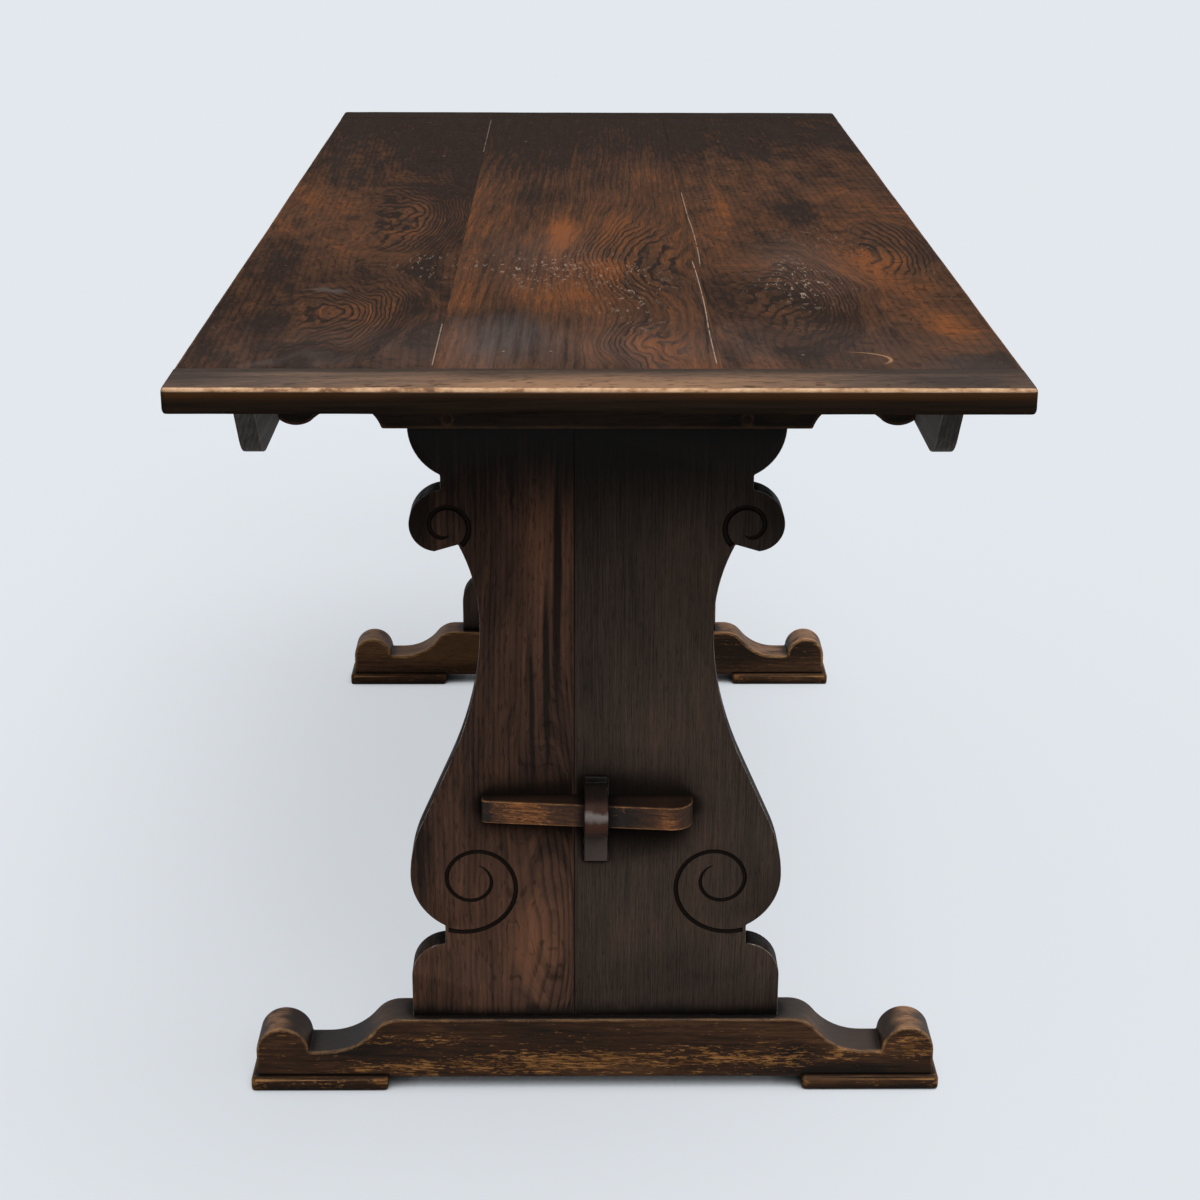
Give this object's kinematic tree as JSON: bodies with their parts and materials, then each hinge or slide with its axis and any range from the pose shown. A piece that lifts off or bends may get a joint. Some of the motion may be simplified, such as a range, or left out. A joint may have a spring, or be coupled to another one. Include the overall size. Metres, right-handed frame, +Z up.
{
  "type": "trestle dining table",
  "caption": "Dark oak trestle dining table: plank top on two shaped panel trestles with sled feet, joined by a stretcher that wedge keys draw tight.",
  "frame": {"origin": "on the floor under the middle of the top", "axes": "+Z up, +Y along the table's length away from the near trestle, +X across the table to the right"},
  "size_m": [0.686, 1.524, 0.762],
  "materials": {
    "apron_oak": "dark stain, rough sawn end grain",
    "bearer_oak": "near-black stain, satin",
    "block_pine": "bare softwood, darkened",
    "foot_oak": "dark stain worn to ochre on the faces and edges",
    "key_oak": "dark stain worn to orange on the front",
    "nail_iron": "rusted",
    "narrow_panel_oak": "dark brown stain over strong cathedral grain, satin",
    "pad_oak": "dark stain worn to ochre on the edges",
    "peg_oak": "near-black stain",
    "screw_steel": "dulled",
    "stretcher_oak": "dark stain, tenon nose polished",
    "top_oak": "dark brown-black stain, waxed and scratched, worn pale along its front edge",
    "wide_panel_oak": "dark brown stain, straight grain, satin"
  },
  "bodies": {
    "table": {"apron_left": "apron_oak", "apron_right": "apron_oak", "apron_screws_far": "screw_steel", "apron_screws_near": "screw_steel", "bearer_far": "bearer_oak", "bearer_near": "bearer_oak", "bearer_pegs_far": "peg_oak", "bearer_pegs_near": "peg_oak", "end_board_far": "top_oak", "end_board_near": "top_oak", "foot_far": "foot_oak", "foot_near": "foot_oak", "foot_pad_far_left": "pad_oak", "foot_pad_far_right": "pad_oak", "foot_pad_near_left": "pad_oak", "foot_pad_near_right": "pad_oak", "glue_blocks_left": "block_pine", "glue_blocks_right": "block_pine", "pad_nails_far": "nail_iron", "pad_nails_near": "nail_iron", "panel_board_narrow_far": "narrow_panel_oak", "panel_board_narrow_near": "narrow_panel_oak", "panel_board_wide_far": "wide_panel_oak", "panel_board_wide_near": "wide_panel_oak", "stretcher": "stretcher_oak", "top_plank_left": "top_oak", "top_plank_middle": "top_oak", "top_plank_right": "top_oak", "top_screws_far": "screw_steel", "top_screws_near": "screw_steel"},
    "near_key": {"wedge_key_near": "key_oak"},
    "far_key": {"wedge_key_far": "key_oak"}
  },
  "joints": [
    {"name": "near_key_slide", "type": "slide", "parent": "table", "child": "near_key", "axis": [1, 0, 0], "range_m": [0, 0.13]},
    {"name": "far_key_slide", "type": "slide", "parent": "table", "child": "far_key", "axis": [-1, 0, 0], "range_m": [0, 0.13]}
  ]
}
